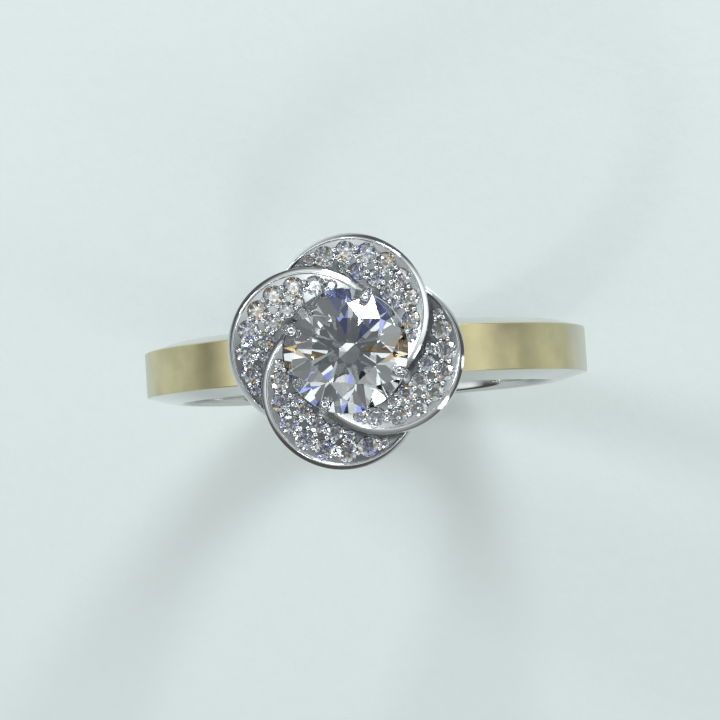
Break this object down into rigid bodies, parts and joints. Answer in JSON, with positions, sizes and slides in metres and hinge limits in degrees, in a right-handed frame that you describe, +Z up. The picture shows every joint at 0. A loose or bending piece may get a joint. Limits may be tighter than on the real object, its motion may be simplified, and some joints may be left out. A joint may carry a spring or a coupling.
{
  "type": "engagement ring",
  "caption": "Engagement ring with a flat-faced round shank and a flower head of overlapping stone-set petals round a round brilliant.",
  "frame": {"origin": "centre of the finger hole, halfway along it", "axes": "+Y along the finger hole, +Z up through the middle of the head, X across the hoop"},
  "size_m": [0.0205, 0.0098, 0.0234],
  "materials": {
    "shank": "polished white gold",
    "petals": "polished rhodium-plated white gold",
    "head_wire": "polished rhodium-plated white gold",
    "centre_stone": "faceted and polished",
    "small_stones": "faceted and polished"
  },
  "bodies": {
    "root": {"accent_stones": "small_stones", "base_ring": "head_wire", "bearer_rail": "head_wire", "centre_stone": "centre_stone", "claw_back": "head_wire", "claw_front": "head_wire", "claw_left": "head_wire", "claw_right": "head_wire", "gallery_rail": "head_wire", "melee_back_01": "small_stones", "melee_back_02": "small_stones", "melee_back_03": "small_stones", "melee_back_04": "small_stones", "melee_back_05": "small_stones", "melee_back_06": "small_stones", "melee_back_07": "small_stones", "melee_back_08": "small_stones", "melee_back_09": "small_stones", "melee_back_10": "small_stones", "melee_front_01": "small_stones", "melee_front_02": "small_stones", "melee_front_03": "small_stones", "melee_front_04": "small_stones", "melee_front_05": "small_stones", "melee_front_06": "small_stones", "melee_front_07": "small_stones", "melee_front_08": "small_stones", "melee_front_09": "small_stones", "melee_front_10": "small_stones", "melee_left_01": "small_stones", "melee_left_02": "small_stones", "melee_left_03": "small_stones", "melee_left_04": "small_stones", "melee_left_05": "small_stones", "melee_left_06": "small_stones", "melee_left_07": "small_stones", "melee_left_08": "small_stones", "melee_left_09": "small_stones", "melee_left_10": "small_stones", "melee_right_01": "small_stones", "melee_right_02": "small_stones", "melee_right_03": "small_stones", "melee_right_04": "small_stones", "melee_right_05": "small_stones", "melee_right_06": "small_stones", "melee_right_07": "small_stones", "melee_right_08": "small_stones", "melee_right_09": "small_stones", "melee_right_10": "small_stones", "petal_back": "petals", "petal_front": "petals", "petal_left": "petals", "petal_right": "petals", "shank": "shank", "strut_back": "head_wire", "strut_front": "head_wire", "strut_left": "head_wire", "strut_right": "head_wire"}
  },
  "joints": []
}
